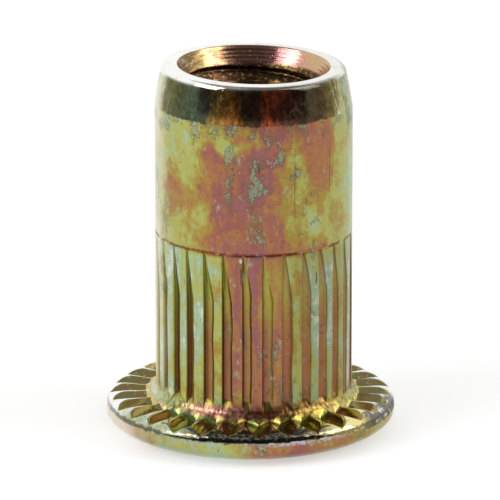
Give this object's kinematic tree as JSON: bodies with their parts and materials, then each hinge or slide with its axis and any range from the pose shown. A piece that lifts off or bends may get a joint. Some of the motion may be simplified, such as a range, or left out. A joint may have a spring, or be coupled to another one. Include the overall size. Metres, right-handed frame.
{
  "type": "rivet nut",
  "caption": "Open-end rivet nut with a flat serrated head, a splined barrel, a tapered lead-in and a tapped bore.",
  "frame": {"origin": "centre of the head's flat outer face, which the part stands on", "axes": "+Z runs along the barrel from the head to the threaded end; X and Y are equal, as the part is round, and the steep side of a spline groove lies on +X"},
  "size_m": [0.0132, 0.0132, 0.0169],
  "materials": {
    "zinc_yellow": "steel with yellow passivated zinc plating, satin, iridescent from olive gold to rose and pale green"
  },
  "bodies": {
    "root": {"rivet_nut": "zinc_yellow"}
  },
  "joints": []
}
